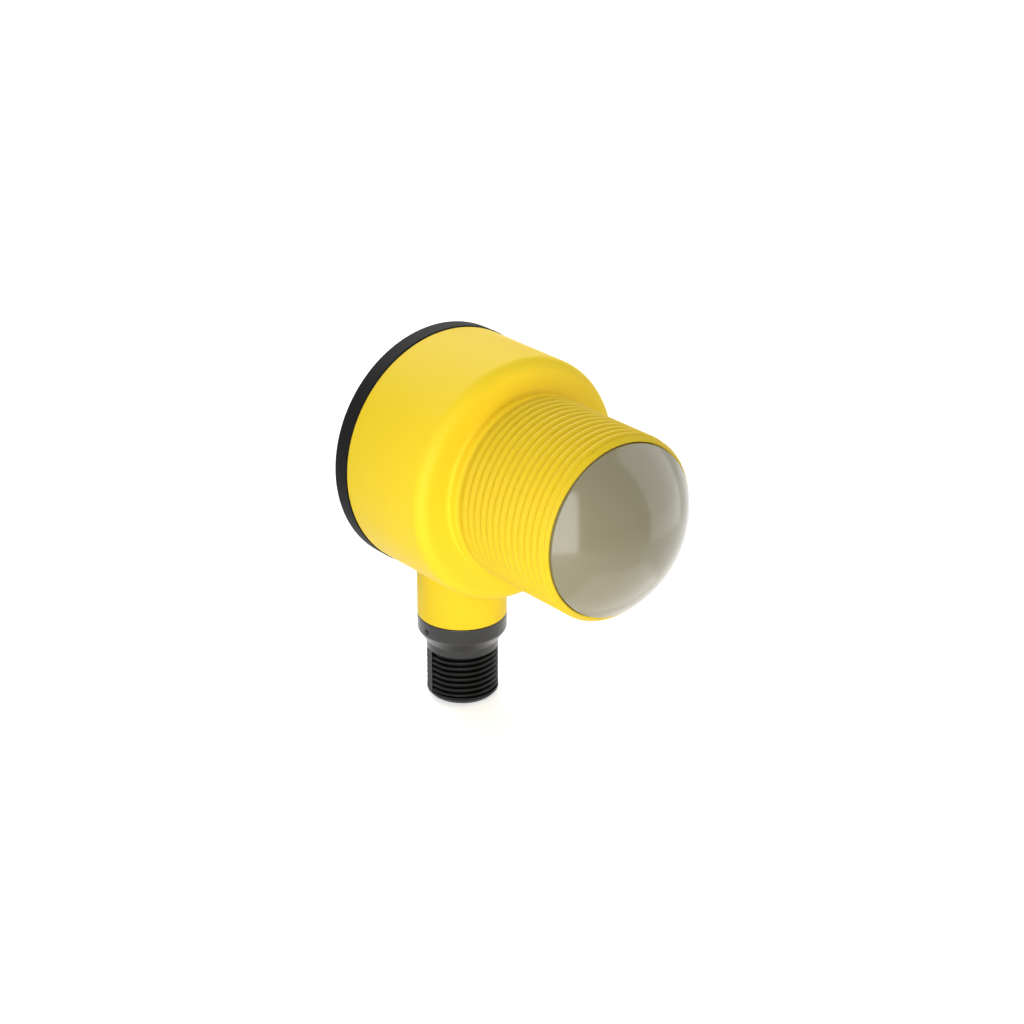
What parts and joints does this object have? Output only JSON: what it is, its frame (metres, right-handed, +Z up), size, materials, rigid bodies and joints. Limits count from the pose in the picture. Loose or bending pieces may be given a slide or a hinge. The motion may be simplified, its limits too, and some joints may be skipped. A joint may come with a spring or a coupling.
{
  "type": "radar sensor",
  "caption": "Right-angle radar sensor: yellow housing with threaded barrel, domed lens, black rear cover and round plug connector below.",
  "frame": {"origin": "on the barrel's axis, where the barrel's full diameter starts ahead of the body's shoulder", "axes": "+Y to the rear, with the lens facing -Y; +Z up, with the connector pointing to -Z; X across"},
  "size_m": [0.0406, 0.0531, 0.0634],
  "materials": {
    "yellow_plastic": "satin",
    "black_plastic": "satin",
    "lens_plastic": "gloss",
    "seal_rubber": "matte",
    "holder_plastic": "matte",
    "absorber_foam": "matte",
    "board_laminate": "satin",
    "chip_resin": "matte",
    "crystal_can": "brushed",
    "capacitor_ceramic": "matte",
    "link_plastic": "matte",
    "gilded_contact": "polished",
    "coil_ferrite": "matte",
    "capacitor_can": "satin",
    "light_resin": "gloss",
    "guide_plastic": "polished",
    "screw_steel": "satin",
    "carrier_plastic": "matte",
    "brown_insulation": "satin",
    "white_insulation": "satin",
    "blue_insulation": "satin",
    "black_insulation": "satin",
    "grey_insulation": "satin"
  },
  "bodies": {
    "root": {"housing": "yellow_plastic", "rear_cover": "black_plastic", "cover_seal": "seal_rubber", "light_guides": "guide_plastic", "lens": "lens_plastic", "lens_seal": "seal_rubber", "antenna_holder": "holder_plastic", "absorber": "absorber_foam", "radar_board": "board_laminate", "radar_chip": "chip_resin", "radar_memory": "chip_resin", "timing_crystal": "crystal_can", "radar_capacitors": "capacitor_ceramic", "header_socket": "link_plastic", "header_body": "link_plastic", "header_pins": "gilded_contact", "main_board": "board_laminate", "processor": "chip_resin", "output_driver": "chip_resin", "power_coil": "coil_ferrite", "storage_capacitors": "capacitor_can", "surge_diodes": "chip_resin", "small_capacitors": "capacitor_ceramic", "indicator_leds": "light_resin", "board_screws": "screw_steel", "connector_shell": "black_plastic", "connector_seal": "seal_rubber", "contact_carrier": "carrier_plastic", "contact_pins": "gilded_contact", "lead_brown": "brown_insulation", "lead_white": "white_insulation", "lead_blue": "blue_insulation", "lead_black": "black_insulation", "lead_grey": "grey_insulation"}
  },
  "joints": []
}
